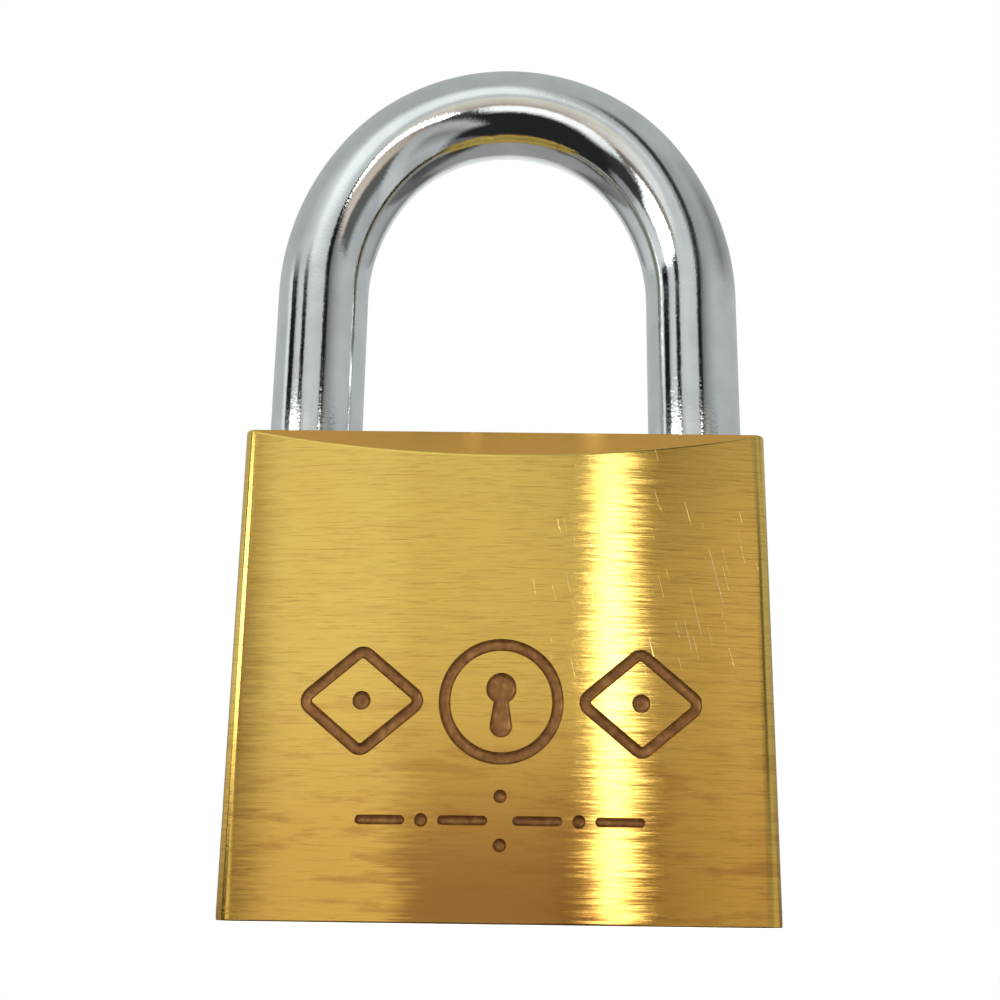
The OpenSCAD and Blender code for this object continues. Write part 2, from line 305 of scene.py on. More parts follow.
def groove_profile(width, steps=8):
    """Section of a round-bottomed groove: (distance across, height) pairs."""
    half = width / 2
    side = [(half + GROOVE_RIM + ABOVE, ABOVE), (half, -GROOVE_RIM)]
    for i in range(1, steps):
        a = math.pi / 2 * i / steps
        across = half * math.cos(a) ** 0.6
        side.append((across, -GROOVE_RIM - (GROOVE_DEPTH - GROOVE_RIM) * math.sin(a) ** 0.8))
    bottom = [(0, -GROOVE_DEPTH)]
    return side + bottom + [(-s, h) for s, h in reversed(side)]


def groove_along(name, path, width):
    """Cutter for a groove along a closed path of (x, z) points on the front face."""
    rows = []
    count = len(path)
    for i, (x, z) in enumerate(path):
        before, after = path[i - 1], path[(i + 1) % count]
        along = Vector((after[0] - before[0], after[1] - before[1])).normalized()
        rows.append([on_face(x + across * along.y, z - across * along.x, height)
                     for across, height in groove_profile(width)])
    bm = bmesh.new()
    rings = loft(bm, rows, capped=False)
    bridge(bm, rings[-1], rings[0])
    return new_object(name, bm)


def capsule(one, one_r, other, other_r, grow, steps=20):
    """Outline around two circles on the front face, grown on all sides."""
    run = Vector(other) - Vector(one)
    heading = math.atan2(run.y, run.x) if run.length else 0
    spread = math.acos((one_r - other_r) / run.length) if run.length else math.pi / 2
    points = []
    for centre, radius, start, sweep in ((other, other_r, -spread, 2 * spread),
                                         (one, one_r, spread, 2 * (math.pi - spread))):
        for i in range(steps + 1):
            a = heading + start + sweep * i / steps
            reach = radius + grow
            points.append((centre[0] + reach * math.cos(a), centre[1] + reach * math.sin(a)))
    return points


def pocket(name, one, one_r, other, other_r, steps=6):
    """Cutter for a round-ended pocket with a rounded floor."""
    small = min(one_r, other_r)
    floor_r = min(0.9 * small, GROOVE_DEPTH - GROOVE_RIM)
    levels = [(GROOVE_RIM + ABOVE, ABOVE), (0, -GROOVE_RIM)]
    for i in range(1, steps + 1):
        a = math.pi / 2 * i / steps
        levels.append((-floor_r * (1 - math.cos(a)), -GROOVE_DEPTH + floor_r * (1 - math.sin(a))))
    rows = [[on_face(x, z, height) for x, z in capsule(one, one_r, other, other_r, grow)]
            for grow, height in levels]
    bm = bmesh.new()
    loft(bm, rows)
    return new_object(name, bm)


def dot(name, x, z, radius, stretch=DOT_STRETCH):
    """Cutter for a round pocket."""
    return pocket(name, (x, z), radius, (x, z + stretch), radius)


def ring_path(x, z, radius, steps=96):
    return [(x + radius * math.cos(2 * math.pi * i / steps), z + radius * math.sin(2 * math.pi * i / steps))
            for i in range(steps)]


def lozenge_path(x, z, half_length, half_height, corner_r, steps=8, run=6):
    """A lozenge whose corners are rounded, as points along its outline."""
    slope = math.atan2(half_height, half_length)
    points = []
    corners = ((half_length, 0, 0, slope), (0, half_height, math.pi / 2, math.pi / 2 - slope),
               (-half_length, 0, math.pi, slope), (0, -half_height, 3 * math.pi / 2, math.pi / 2 - slope))
    for reach_x, reach_z, heading, half_angle in corners:
        reach = math.hypot(reach_x, reach_z) - corner_r / math.sin(half_angle)
        centre_x = x + reach * math.cos(heading)
        centre_z = z + reach * math.sin(heading)
        half_sweep = math.pi / 2 - half_angle
        for i in range(steps + 1):
            a = heading - half_sweep + 2 * half_sweep * i / steps
            points.append((centre_x + corner_r * math.cos(a), centre_z + corner_r * math.sin(a)))
    path = []
    for i, point in enumerate(points):
        path.append(point)
        after = points[(i + 1) % len(points)]
        if i % (steps + 1) == steps:
            for k in range(1, run):
                path.append((point[0] + (after[0] - point[0]) * k / run,
                             point[1] + (after[1] - point[1]) * k / run))
    return path


def engraving():
    """Cutters for the ornament: a keyhole in a ring between two lozenges, over a row of dashes and dots."""
    z = LARGE_ROW_Z
    cutters = [
        groove_along("cut_ring", ring_path(0, z, RING_R), GROOVE_W),
        dot("cut_keyhole_top", 0, z + 1.15 * MM, 1.35 * MM, -DOT_STRETCH),
        pocket("cut_keyhole_leg", (0, z + 0.6 * MM), 0.55 * MM, (0, z - 2.2 * MM), 1.0 * MM),
    ]
    for side in (-1, 1):
        x = LOZENGE_X * side
        lozenge = lozenge_path(x, z, LOZENGE_HALF_W, LOZENGE_HALF_H, LOZENGE_CORNER_R)
        cutters.append(groove_along("cut_lozenge", lozenge, GROOVE_W))
        cutters.append(dot("cut_centre_dot", x, z, CENTRE_DOT_R))
    z = SMALL_ROW_Z
    fine = FINE_GROOVE_W / 2
    for side in (-1, 1):
        for x in DASH_X:
            cutters.append(pocket("cut_dash", (side * x - DASH_HALF, z), fine,
                                  (side * x + DASH_HALF, z), fine))
        cutters.append(dot("cut_dot", DOT_X * side, z, DOT_R))
        cutters.append(dot("cut_middle_dot", 0, z + side * MIDDLE_DOT_Z, DOT_R, side * DOT_STRETCH))
    return cutters


def pin_z(number):
    """Height of a pin stack, from its driver pin's box."""
    low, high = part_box(f"driver_pin_{number}")
    return (low[2] + high[2]) / 2


def bores():
    """Cutters for everything that is drilled into the body."""
    out = 1 * MM            # how far a cutter reaches past the face it enters by
    plug_rim = 0.35 * MM
    side_hole = HALF_W + out
    cutters = []
    for name, x, floor in (("cut_toe_bore", LEG_X, TOE_BORE_Z), ("cut_heel_bore", -LEG_X, HEEL_BORE_Z)):
        profile = [(floor, BORE_R), (BODY_H - BORE_RIM, BORE_R), (BODY_H + out, BORE_R + BORE_RIM + out)]
        cutters.append(lathe(name, profile, (x, 0, 0), sides=96))
    profile = [(-LEG_X, BOLT_BORE_R), (side_hole, BOLT_BORE_R)]
    cutters.append(lathe("cut_bolt_bore", profile, (0, 0, BOLT_Z), "X"))
    profile = [(-out, PLUG_BORE_R + plug_rim + out), (plug_rim, PLUG_BORE_R), (PLUG_BORE_Z, PLUG_BORE_R)]
    cutters.append(lathe("cut_plug_bore", profile, (0, 0, 0), sides=96))
    profile = [(PLUG_BORE_Z - out, CAM_WELL_R), (BOLT_Z, CAM_WELL_R)]
    cutters.append(lathe("cut_cam_well", profile, (0, 0, 0)))
    for number in range(1, PIN_COUNT + 1):
        profile = [(0, CHAMBER_R), (side_hole, CHAMBER_R)]
        cutters.append(lathe("cut_chamber", profile, (0, 0, pin_z(number)), "X", 48))
    profile = [(0, RETAINING_R), (side_hole, RETAINING_R)]
    cutters.append(lathe("cut_retaining_hole", profile, (0, 0, RETAINING_Z), "X", 40))
    return cutters


def body_normal(point, facing):
    """The crowned faces' own normal, and plain flat normals on the top, underside, sides and bevels."""
    looks_out = abs(facing.z) < 0.01 and abs(facing.y) > 0.9
    on_crown = abs(abs(point.y) - crown_y(point.x)) < ON_SURFACE
    if on_crown and looks_out and abs(point.x) <= HALF_W - CORNER_R:
        return Vector((point.x, math.copysign(abs(point.y) + CROWN_CENTRE, point.y), 0)).normalized()
    bevel_z = BEVEL_D / math.hypot(BEVEL_D, BEVEL_H)
    on_bevel = abs(facing.z - bevel_z) < 0.005 and abs(facing.x) < 0.005
    if abs(facing.z) > 0.999 or abs(facing.x) > 0.9999 or on_bevel:
        return facing
    return None


def make_body():
    body = cut(body_blank(), engraving() + bores())
    set_normals(body, body_normal)
    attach(body, "body")
    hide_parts("body")
    return body


# ---------------------------------------------------------------------------------------------
# Shackle and the pieces inside


def arch_point(a):
    """The point of the bar's axis where the bar has bent to an angle above +X."""
    outward = Vector((math.cos(a), 0, math.sin(a)))
    if a < SHOULDER_ANGLE:
        return Vector((LEG_X - SHOULDER_R, 0, ARCH_Z)) + outward * SHOULDER_R
    if a > math.pi - SHOULDER_ANGLE:
        return Vector((SHOULDER_R - LEG_X, 0, ARCH_Z)) + outward * SHOULDER_R
    return Vector((0, 0, TOP_BEND_Z)) + outward * TOP_BEND_R


def shackle_rows(sides=96, arch_steps=96):
    """Rings along the bent bar, from the heel's end over the arch to the toe's end."""
    def ring(centre, across, radius):
        return [centre + across * (radius * math.cos(2 * math.pi * i / sides))
                + Vector((0, radius * math.sin(2 * math.pi * i / sides), 0)) for i in range(sides)]

    def leg_end(x, across, end_z, edge, steps=4):
        rows = []
        for i in range(steps + 1):
            a = math.pi / 2 * i / steps
            centre = Vector((x, 0, end_z + edge * (1 - math.cos(a))))
            rows.append(ring(centre, across, BAR_R - edge * (1 - math.sin(a))))
        return rows

    rows = leg_end(-LEG_X, Vector((-1, 0, 0)), SHACKLE_LOW[2], 0.7 * MM)
    for i in range(arch_steps + 1):
        a = math.pi * (1 - i / arch_steps)
        outward = Vector((math.cos(a), 0, math.sin(a)))
        rows.append(ring(arch_point(a), outward, BAR_R))
    rows += reversed(leg_end(LEG_X, Vector((1, 0, 0)), TOE_END_Z, 1.2 * MM))
    return rows


def prism(name, outline, half_width):
    """A bar along Y with an outline of (x, z) points."""
    bm = bmesh.new()
    loft(bm, [[(x, y, z) for x, z in outline] for y in (-half_width, half_width)])
    return new_object(name, bm)


def bolt_notch(side, floor_x):
    """Cutter for the notch that a bolt enters, with a sloped upper flank."""
    inner_x = LEG_X - BAR_R - MM
    low, high = BOLT_Z - BOLT_NOTCH_HALF_H, BOLT_Z + BOLT_NOTCH_HALF_H
    outline = [(inner_x, low), (floor_x, low), (floor_x, high), (inner_x, high + floor_x - inner_x)]
    return prism("cut_notch", [(side * x, z) for x, z in outline], BAR_R + MM)


def waist_cutter(sides=96, steps=6, fillet=0.5 * MM):
    """Cutter for the turned-down waist of the heel leg, with filleted corners."""
    outside = BAR_R + MM
    high = BOLT_Z - 0.01 * MM
    profile = [(WAIST_Z, outside)]
    for i in range(steps + 1):
        a = math.pi / 2 * i / steps
        profile.append((WAIST_Z + fillet * (1 - math.cos(a)), WAIST_R + fillet * (1 - math.sin(a))))
    profile += [(high, WAIST_R), (high, outside)]
    bm = bmesh.new()
    rings = []
    for z, radius in profile:
        rings.append(add_ring(bm, [(-LEG_X + radius * math.cos(2 * math.pi * i / sides),
                                    radius * math.sin(2 * math.pi * i / sides), z) for i in range(sides)]))
    for one, other in zip(rings, rings[1:] + rings[:1]):
        bridge(bm, one, other)
    return new_object("cut_waist", bm)


def shackle_normal(point, facing):
    """The bar's own normal on its round surface."""
    if point.z <= ARCH_Z:
        axis = Vector((math.copysign(LEG_X, point.x), 0, point.z))
    else:
        side = math.copysign(1, point.x)
        shoulder = Vector((side * (LEG_X - SHOULDER_R), 0, ARCH_Z))
        ahead = Vector((point.x, 0, point.z)) - shoulder
        bend = math.atan2(ahead.z, side * ahead.x)
        axis = arch_point(bend if side > 0 else math.pi - bend)
        if bend > SHOULDER_ANGLE:
            top = Vector((0, 0, TOP_BEND_Z))
            axis = top + (Vector((point.x, 0, point.z)) - top).normalized() * TOP_BEND_R
    normal = point - axis
    if abs(normal.length - BAR_R) > ON_SURFACE or normal.normalized().dot(facing) < 0.95:
        return None
    return normal.normalized()


def make_shackle():
    bm = bmesh.new()
    loft(bm, shackle_rows())
    shackle = new_object("steel_shackle", bm)
    cut(shackle, [bolt_notch(1, TOE_NOTCH_X), bolt_notch(-1, HEEL_NOTCH_X), waist_cutter()])
    set_normals(shackle, shackle_normal)
    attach(shackle, "shackle")
    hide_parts("shackle")
    return shackle


def coil(name, low, axis, outer_r, wire_d, length, turns, steps=36, sides=12):
    """A compression spring with a closed turn at each end, its wire swept along the coil."""
    wire_r = wire_d / 2
    middle_r = outer_r - wire_r
    open_length = length - 3 * wire_d
    tip = 0.3               # share of the wire's radius that is left at its ground ends
    tip_steps = 6

    def rise(turn):
        if turn < 1:
            return turn * wire_d
        if turn > turns - 1:
            return length - wire_d - (turns - turn) * wire_d
        return wire_d + (turn - 1) / (turns - 2) * open_length

    turn_to = {"X": Matrix.Rotation(math.pi / 2, 4, "Y"), "Z": Matrix.Identity(4)}[axis]
    place = Matrix.Translation(low) @ turn_to
    rows = []
    for i in range(turns * steps + 1):
        around = 2 * math.pi * i / steps
        taper = min(1, tip + i / tip_steps, tip + (turns * steps - i) / tip_steps)
        row = []
        for j in range(sides):
            b = 2 * math.pi * j / sides
            radius = middle_r + taper * wire_r * math.cos(b)
            height = wire_r + rise(i / steps) + taper * wire_r * math.sin(b)
            row.append(place @ Vector((radius * math.cos(around), radius * math.sin(around), height)))
        rows.append(row)
    bm = bmesh.new()
    loft(bm, rows)
    return new_object(name, bm)


def stand_for(piece, node, body):
    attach(piece, body)
    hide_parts(node)
    return piece


def middle(low, high, axis):
    """The middle of a box's low face along an axis."""
    point = (Vector(low) + Vector(high)) / 2
    point["XYZ".index(axis)] = low["XYZ".index(axis)]
    return point


def make_springs():
    springs = []
    low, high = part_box("shackle_spring")
    springs.append(stand_for(coil("coil_under_heel", middle(low, high, "Z"), "Z", 4 * MM, 0.8 * MM,
                                  high[2] - low[2], 6), "shackle_spring", "body"))
    low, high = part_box("bolt_spring")
    springs.append(stand_for(coil("coil_between_bolts", middle(low, high, "X"), "X", 1 * MM, 0.4 * MM,
                                  high[0] - low[0], 10, 24, 10), "bolt_spring", "body"))
    for number in range(1, PIN_COUNT + 1):
        node = f"pin_spring_{number}"
        low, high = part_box(node)
        start = Vector((low[0], 0, pin_z(number)))
        length = high[0] - low[0]
        spring = coil(f"coil_behind_driver_{number}", start, "X", 1.3 * MM, 0.36 * MM, length, 8, 24, 10)
        springs.append(stand_for(spring, node, "body"))
        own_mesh(spring)
    return springs


def make_pins():
    """Key pins, driver pins and the retaining pin, turned with rounded edges."""
    brass, steel = [], []
    for number in range(1, PIN_COUNT + 1):
        low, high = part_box(f"key_pin_{number}")
        length, radius = high[1] - low[1], (high[0] - low[0]) / 2
        tip = [(0, 0.25 * MM), (0.05 * MM, 0.42 * MM), (0.15 * MM, 0.56 * MM), (0.9 * MM, radius)]
        crown = [(at, r) for at, r in rounded_pin(length, radius, 0, 0.3 * MM) if at > MM]
        pin = lathe(f"brass_key_pin_{number}", tip + crown, middle(low, high, "Y"), "Y", 40)
        brass.append(stand_for(pin, f"key_pin_{number}", f"key_pin_{number}"))
        low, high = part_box(f"driver_pin_{number}")
        length, radius = high[0] - low[0], (high[1] - low[1]) / 2
        pin = lathe(f"steel_driver_pin_{number}", rounded_pin(length, radius, 0.25 * MM, 0.25 * MM),
                    middle(low, high, "X"), "X", 40)
        steel.append(stand_for(pin, f"driver_pin_{number}", f"driver_pin_{number}"))
    low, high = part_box("plug_retaining_pin")
    length, radius = high[0] - low[0], (high[1] - low[1]) / 2
    pin = lathe("steel_retaining_pin", rounded_pin(length, radius, 0.2 * MM, 0.12 * MM),
                middle(low, high, "X"), "X", 40)
    steel.append(stand_for(pin, "plug_retaining_pin", "body"))
    return brass, steel


# ---------------------------------------------------------------------------------------------
# Materials


class Nodes:
    """Short calls for building a material's or the world's node tree."""

    def __init__(self, owner):
        owner.use_nodes = True
        self.tree = owner.node_tree
        self.tree.nodes.clear()

    def add(self, kind, inputs=None, **settings):
        """A node, with its settings and the values or links of its inputs."""
        node = self.tree.nodes.new(kind)
        for name, value in settings.items():
            setattr(node, name, value)
        for name, value in (inputs or {}).items():
            if isinstance(value, bpy.types.NodeSocket):
                self.tree.links.new(value, node.inputs[name])
            else:
                node.inputs[name].default_value = value
        return node

    def math(self, operation, one, other=0.0, third=0.0, clamp=False):
        node = self.add("ShaderNodeMath", {0: one, 1: other, 2: third}, operation=operation, use_clamp=clamp)
        return node.outputs[0]

    def mix(self, share, one, other, blend="MIX"):
        """A mix of two colours."""
        node = self.add("ShaderNodeMix", {0: share, 6: one, 7: other}, data_type="RGBA", blend_type=blend)
        return node.outputs[2]

    def blend(self, share, one, other):
        """A mix of two numbers."""
        node = self.add("ShaderNodeMix", {0: share, 2: one, 3: other}, data_type="FLOAT")
        return node.outputs[0]

    def smooth(self, value, low, high, to_low=0.0, to_high=1.0):
        """Moves a value smoothly from one range to another."""
        node = self.add("ShaderNodeMapRange", {0: value, 1: low, 2: high, 3: to_low, 4: to_high},
                        interpolation_type="SMOOTHSTEP")
        return node.outputs[0]

    def scaled(self, vector, scale, offset=(0, 0, 0)):
        node = self.add("ShaderNodeMapping", {"Vector": vector, "Scale": scale, "Location": offset})
        return node.outputs[0]

    def noise(self, vector, scale=1.0, detail=2.0, roughness=0.5):
        node = self.add("ShaderNodeTexNoise", {"Vector": vector, "Scale": scale, "Detail": detail,
                                               "Roughness": roughness})
        return node.outputs[0]

    def ramp(self, value, stops, interpolation="LINEAR"):
        """A colour ramp through (position, colour) stops."""
        node = self.add("ShaderNodeValToRGB", {0: value})
        elements = node.color_ramp.elements
        node.color_ramp.interpolation = interpolation
        while len(elements) < len(stops):
            elements.new(1.0)
        for element, (position, colour) in zip(elements, stops):
            element.position = position
            element.color = (*colour, 1)
        return node.outputs[0]


def grain(nodes, length, thickness):
    """Noise stretched along X on the faces and along the top, for marks left by brushing."""
    texture = nodes.add("ShaderNodeTexCoord")
    facing = nodes.add("ShaderNodeSeparateXYZ", {0: texture.outputs["Normal"]}).outputs[2]
    is_flat = nodes.math("GREATER_THAN", nodes.math("ABSOLUTE", facing), 0.75)
    upright = nodes.scaled(texture.outputs["Object"], (1 / length, 1 / length, 1 / thickness))
    flat = nodes.scaled(texture.outputs["Object"], (1 / length, 1 / thickness, 1 / length))
    place = nodes.add("ShaderNodeMix", {0: is_flat, 4: upright, 5: flat}, data_type="VECTOR").outputs[1]
    return nodes.noise(place, 1, 2, 0.6)


def tilted_normal(nodes, normal, sideways, amount):
    """The normal, turned a little towards or away from +X where the value leaves a half."""
    shift = nodes.math("MULTIPLY", nodes.math("SUBTRACT", sideways, 0.5), amount)
    offset = nodes.add("ShaderNodeCombineXYZ", {0: shift}).outputs[0]
    total = nodes.add("ShaderNodeVectorMath", {0: normal, 1: offset}, operation="ADD").outputs[0]
    return nodes.add("ShaderNodeVectorMath", {0: total}, operation="NORMALIZE").outputs[0]


def pits(nodes, place, spacing, share, size):
    """Sparse dots: 1 inside a pit, 0 outside. share is the share of the cells that has one."""
    cells = nodes.add("ShaderNodeTexVoronoi", {"Vector": place, "Scale": 1 / spacing})
    chosen = nodes.add("ShaderNodeSeparateColor", {0: cells.outputs["Color"]}).outputs[0]
    radius = nodes.smooth(chosen, 1 - share, 1.0, 0.0, size / spacing)
    ragged = nodes.math("MULTIPLY", radius, nodes.smooth(nodes.noise(place, 4 / size, 1), 0.3, 0.7, 0.5, 1.5))
    return nodes.math("LESS_THAN", cells.outputs["Distance"], ragged)


def weighted(nodes, one, share, other):
    """Two values added, by a share of the first and the rest of the second."""
    return nodes.math("ADD", nodes.math("MULTIPLY", one, share), nodes.math("MULTIPLY", other, 1 - share))


def painted_shade_patch(nodes, place, cloud, band_marks):
    """How much painted shade darkens the lower middle of the front: a patch with a ragged outline, on the
    front only.
    """
    across, depth, height_up = nodes.add("ShaderNodeSeparateXYZ", {0: place}).outputs
    ragged = nodes.math("ADD", nodes.math("MULTIPLY", cloud, 12 * MM),
                        nodes.math("MULTIPLY", band_marks, 9 * MM))
    wavy = nodes.math("SUBTRACT", ragged, 10.5 * MM)
    from_middle = nodes.math("ABSOLUTE", nodes.math("ADD", across, wavy))
    patch_shade = nodes.math("MULTIPLY", nodes.smooth(from_middle, 6.5 * MM, 11 * MM, 1.0, 0.0),
                      nodes.smooth(height_up, 1 * MM, 20 * MM, 0.85, 0.0))
    return nodes.math("MULTIPLY", patch_shade, nodes.smooth(depth, -MM, MM, 1.0, 0.0))


def low_dark_streaks(nodes, place, height_up):
    """Darker streaks along X, strongest near the underside."""
    streaks = nodes.noise(nodes.scaled(place, (1 / (7 * MM), 1 / (7 * MM), 1 / (1.4 * MM))), 1, 4, 0.6)
    return nodes.math("MULTIPLY", nodes.smooth(streaks, 0.50, 0.66),
                      nodes.smooth(height_up, 3 * MM, 30 * MM, 0.45, 0.06))


def upright_scratches(nodes, place):
    """Thin scratches that lean a little, in one worn area at the upper right of the front."""
    leaning = nodes.add("ShaderNodeMapping", {"Vector": place, "Rotation": (0, 0.22, 0)}).outputs[0]
    thin = nodes.noise(nodes.scaled(leaning, (1 / (0.22 * MM), 1 / (8 * MM), 1 / (6 * MM))), 1, 1, 0.4)
    worn_at = (14 * MM, -HALF_T, 31 * MM)
    from_worn = nodes.add("ShaderNodeVectorMath", {0: place, 1: worn_at}, operation="DISTANCE")
    worn = nodes.smooth(from_worn.outputs["Value"], 6 * MM, 14 * MM, 1.0, 0.0)
    return nodes.math("MULTIPLY", nodes.smooth(thin, 0.695, 0.73), worn)


def brushed_brass():
    material = bpy.data.materials.new("brushed_brass")
    nodes = Nodes(material)
    texture = nodes.add("ShaderNodeTexCoord")
    place = texture.outputs["Object"]
    height_up = nodes.add("ShaderNodeSeparateXYZ", {0: place}).outputs[2]
    facing = nodes.add("ShaderNodeSeparateXYZ", {0: texture.outputs["Normal"]}).outputs[2]
    long_marks = grain(nodes, 4.5 * MM, 0.15 * MM)
    short_marks = grain(nodes, 1.5 * MM, 0.07 * MM)
    band_marks = grain(nodes, 9.0 * MM, 0.35 * MM)
    cloud = nodes.noise(place, 1 / (12 * MM), 3, 0.55)
    marks = weighted(nodes, long_marks, 0.55, short_marks)
    pit = pits(nodes, place, 5.2 * MM, 0.40, 0.16 * MM)
    scratch = upright_scratches(nodes, place)

    # colour: yellow, browner where it is tarnished and along the deeper marks; painted shade makes it browner
    # towards the underside
    painted_low_shade = nodes.smooth(height_up, 0, 24 * MM, 0.75, 0.0)
    # this share is the cloud's random tarnish plus the painted shade towards the underside
    tarnish_and_painted_shade = nodes.math("ADD", nodes.smooth(cloud, 0.55, 0.95, 0.0, 0.5), painted_low_shade, clamp=True)
    colour = nodes.mix(tarnish_and_painted_shade, (0.95, 0.665, 0.160, 1), (0.87, 0.50, 0.10, 1))
    colour = nodes.mix(nodes.smooth(marks, 0.48, 0.72, 0.0, 0.60), colour, (0.56, 0.30, 0.06, 1))
    # painted shade: a dark brown patch over the lower middle of the front
    colour = nodes.mix(painted_shade_patch(nodes, place, cloud, band_marks), colour, (0.40, 0.19, 0.05, 1))
    colour = nodes.mix(low_dark_streaks(nodes, place, height_up), colour, (0.46, 0.20, 0.05, 1))
    # painted reflection: faces that slope like the bevels are tinted orange because of which way they face
    sloped = nodes.math("MULTIPLY", nodes.smooth(facing, 0.40, 0.55),
                        nodes.smooth(facing, 0.65, 0.75, 1.0, 0.0))
    colour = nodes.mix(nodes.math("MULTIPLY", sloped, 0.8), colour, (0.98, 0.50, 0.10, 1))
    colour = nodes.mix(nodes.math("MULTIPLY", pit, 0.8), colour, (0.12, 0.055, 0.015, 1))
    colour = nodes.mix(nodes.math("MULTIPLY", scratch, 0.6), colour, (1.0, 0.90, 0.55, 1))

    # shape: brush marks, and a slow wander of the surface that makes reflections ragged
    height = nodes.math("SUBTRACT", nodes.math("SUBTRACT", marks, pit), scratch)
    bump = nodes.add("ShaderNodeBump", {"Strength": 0.26, "Distance": 0.025 * MM, "Height": height})
    wander = weighted(nodes, long_marks, 0.5, band_marks)
    normal = tilted_normal(nodes, bump.outputs[0], wander, 0.07)
    tangent = nodes.add("ShaderNodeTangent", direction_type="RADIAL", axis="Z")
    roughness = nodes.blend(nodes.smooth(long_marks, 0.3, 0.7), 0.12, 0.17)
    shader = nodes.add("ShaderNodeBsdfPrincipled", {
        "Base Color": colour, "Metallic": 1.0, "Roughness": roughness, "Anisotropic": 1.0,
        "Anisotropic Rotation": 0.25, "Normal": normal, "Tangent": tangent.outputs[0]})
    nodes.add("ShaderNodeOutputMaterial", {"Surface": shader.outputs[0]})
    return material


def engraved_brass():
    """The darkened floor of the engraving, with the cutter's chatter across it."""
    material = bpy.data.materials.new("engraved_brass")
    nodes = Nodes(material)
    place = nodes.add("ShaderNodeTexCoord").outputs["Object"]
    mottled = nodes.noise(place, 1 / (0.8 * MM), 3, 0.6)
    colour = nodes.ramp(mottled, [(0.30, (0.20, 0.085, 0.025)), (0.55, (0.33, 0.155, 0.050)),
                                  (0.8, (0.52, 0.27, 0.09))])
    chatter = nodes.noise(nodes.scaled(place, (1 / (0.25 * MM), 1 / MM, 1 / (0.25 * MM))), 1, 2, 0.5)
    bump = nodes.add("ShaderNodeBump", {"Strength": 0.4, "Distance": 0.03 * MM, "Height": chatter})
    shader = nodes.add("ShaderNodeBsdfPrincipled", {
        "Base Color": colour, "Metallic": 0.75, "Roughness": 0.48, "Normal": bump.outputs[0]})
    nodes.add("ShaderNodeOutputMaterial", {"Surface": shader.outputs[0]})
    return material


def polished_chrome():
    material = bpy.data.materials.new("polished_chrome")
    nodes = Nodes(material)
    place = nodes.add("ShaderNodeTexCoord").outputs["Object"]
    waves = nodes.noise(place, 1 / (3.5 * MM), 2, 0.5)
    teeth = nodes.noise(place, 1 / (0.30 * MM), 3, 0.65)
    pit = pits(nodes, place, 4.5 * MM, 0.45, 0.22 * MM)
    colour = nodes.mix(nodes.smooth(waves, 0.35, 0.7), (0.84, 0.88, 0.87, 1), (0.77, 0.80, 0.80, 1))
    colour = nodes.mix(nodes.math("MULTIPLY", pit, 0.85), colour, (0.06, 0.07, 0.08, 1))
    height = nodes.math("ADD", nodes.math("MULTIPLY", waves, 0.6), nodes.math("MULTIPLY", teeth, 0.45))
    height = nodes.math("SUBTRACT", height, nodes.math("MULTIPLY", pit, 0.3))
    bump = nodes.add("ShaderNodeBump", {"Strength": 0.30, "Distance": 0.05 * MM, "Height": height})
    roughness = nodes.blend(nodes.smooth(teeth, 0.4, 0.7), 0.03, 0.08)
    shader = nodes.add("ShaderNodeBsdfPrincipled", {
        "Base Color": colour, "Metallic": 1.0, "Roughness": roughness, "Normal": bump.outputs[0]})
    nodes.add("ShaderNodeOutputMaterial", {"Surface": shader.outputs[0]})
    return material


def turned_metal(name, light, dark, roughness, mark):
    """A metal with fine turning or drawing marks. mark is the distance between them."""
    material = bpy.data.materials.new(name)
    nodes = Nodes(material)
    place = nodes.add("ShaderNodeTexCoord").outputs["Object"]
    marks = nodes.noise(nodes.scaled(place, (1 / mark, 0.15 / mark, 1 / mark)), 1, 3, 0.6)
    cloud = nodes.noise(place, 1 / (4 * MM), 2, 0.5)
    share = weighted(nodes, marks, 0.5, cloud)
    colour = nodes.mix(nodes.smooth(share, 0.4, 0.65), (*light, 1), (*dark, 1))
    bump = nodes.add("ShaderNodeBump", {"Strength": 0.2, "Distance": 0.02 * MM, "Height": marks})
    rough = nodes.blend(nodes.smooth(marks, 0.3, 0.7), roughness, roughness + 0.12)
    shader = nodes.add("ShaderNodeBsdfPrincipled", {
        "Base Color": colour, "Metallic": 1.0, "Roughness": rough, "Normal": bump.outputs[0]})
    nodes.add("ShaderNodeOutputMaterial", {"Surface": shader.outputs[0]})
    return material


def finish_with(obj, material):
    """Gives a piece, or a CAD node's object, one material."""
    if not obj.material_slots:
        obj.data.materials.append(None)
    for material_slot in obj.material_slots:
        material_slot.link = "OBJECT"
        material_slot.material = material


# ---------------------------------------------------------------------------------------------
# Studio


NEUTRAL, WARM, COOL, AMBER = (1, 1, 1), (1, 0.84, 0.72), (0.97, 1.0, 1.0), (1, 0.94, 0.80)
STRONGEST = 6.0             # the brightest level in the bands below
GROUND = -180               # start of the band that every other band lies over
WIDE_FADE = 15              # a band that fades in over more degrees than this does so faster at first
FADE_POWER = 0.6
# The bright strip that the right half of the front reflects
WINDOW = [(10.0, 0.8, NEUTRAL), (10.7, 6, NEUTRAL), (13.7, 6, NEUTRAL)]
